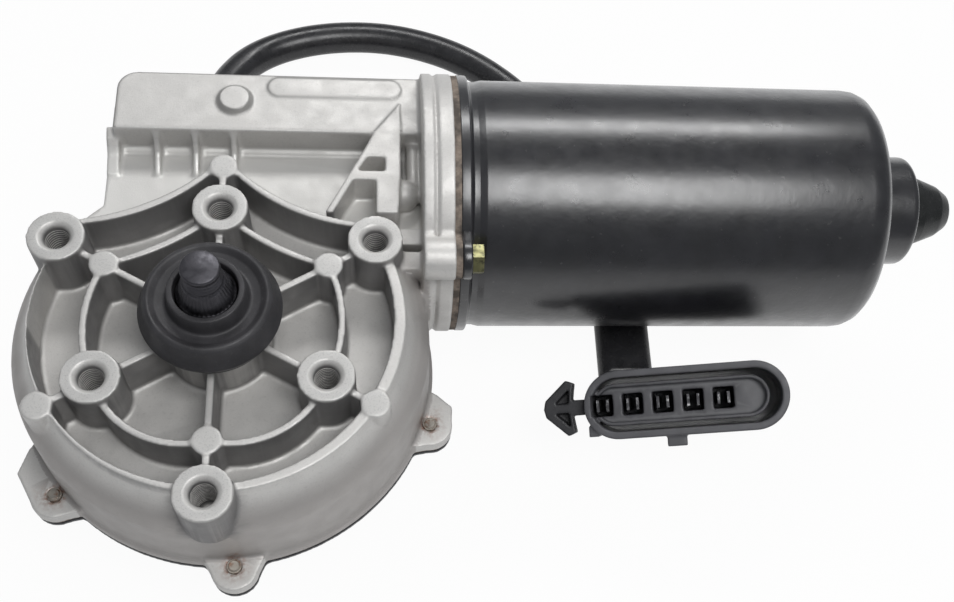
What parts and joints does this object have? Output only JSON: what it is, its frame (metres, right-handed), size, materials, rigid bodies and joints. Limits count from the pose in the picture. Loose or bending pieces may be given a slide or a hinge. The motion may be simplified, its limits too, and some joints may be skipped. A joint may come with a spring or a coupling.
{
  "type": "wiper motor",
  "caption": "Worm-gear wiper motor with ribbed die-cast gear housing, black drawn yoke, threaded output shaft and a sleeved cable to a flat blade connector.",
  "frame": {"origin": "output shaft axis on the plane of the mounting boss tops", "axes": "+Z out along the output shaft, +X along the armature towards the yoke's closed end"},
  "size_m": [0.2868, 0.2291, 0.1004],
  "materials": {
    "cast_housing": "satin as-cast",
    "cover_steel": "satin black",
    "screw_zinc": "zinc plated",
    "screw_yellow": "yellow passivated zinc",
    "bronze": "sintered",
    "seal_rubber": "matt",
    "cap_rubber": "satin",
    "yoke_paint": "gloss black",
    "gasket_paper": "fibre",
    "ferrite": "matt",
    "spring_steel": "bright",
    "bearing_steel": "ground",
    "shaft_steel": "blackened",
    "phenolic": "matt",
    "carbon": "matt",
    "cable_jacket": "satin",
    "plug_plastic": "matt",
    "blade_tin": "tin plated",
    "lamination": "varnished",
    "copper": "bright",
    "wheel_plastic": "natural"
  },
  "bodies": {
    "housing": {"gear_housing": "cast_housing", "cover_gasket": "gasket_paper", "gear_cover": "cover_steel", "cover_screws": "screw_zinc", "output_shaft_bushes": "bronze", "shaft_seal": "seal_rubber", "yoke": "yoke_paint", "yoke_gasket": "gasket_paper", "yoke_screws": "screw_yellow", "magnet_upper": "ferrite", "magnet_lower": "ferrite", "magnet_clips": "spring_steel", "end_cap": "cap_rubber", "rear_bush": "bronze", "bearing_outer_race": "bearing_steel", "bearing_balls": "bearing_steel", "thrust_screw": "bearing_steel", "thrust_ball": "bearing_steel", "brush_plate": "phenolic", "brush_holders": "phenolic", "brushes": "carbon", "brush_springs": "spring_steel", "park_plate": "phenolic", "park_fingers": "spring_steel", "cable": "cable_jacket", "cable_grommet": "seal_rubber", "cable_sleeve": "cable_jacket", "plug_housing": "plug_plastic", "plug_blades": "blade_tin", "plug_clip": "plug_plastic", "plug_rear": "plug_plastic"},
    "armature": {"armature_shaft": "bearing_steel", "armature_stack": "lamination", "armature_windings": "copper", "commutator": "copper", "bearing_inner_race": "bearing_steel"},
    "output": {"output_shaft": "shaft_steel", "worm_wheel": "wheel_plastic", "wheel_hub": "bearing_steel", "shaft_washer": "bearing_steel", "shaft_circlip": "spring_steel", "park_ring": "copper"}
  },
  "joints": [
    {"name": "armature_spin", "type": "hinge", "parent": "housing", "child": "armature", "pos_m": [0, 0.0535, -0.0255], "axis": [1, 0, 0], "continuous": true},
    {"name": "output_spin", "type": "hinge", "parent": "housing", "child": "output", "pos_m": [0, 0, 0], "axis": [0, 0, 1], "continuous": true}
  ],
  "couplings": [
    {"joint": "output_spin", "follows": "armature_spin", "ratio": 0.015625}
  ]
}
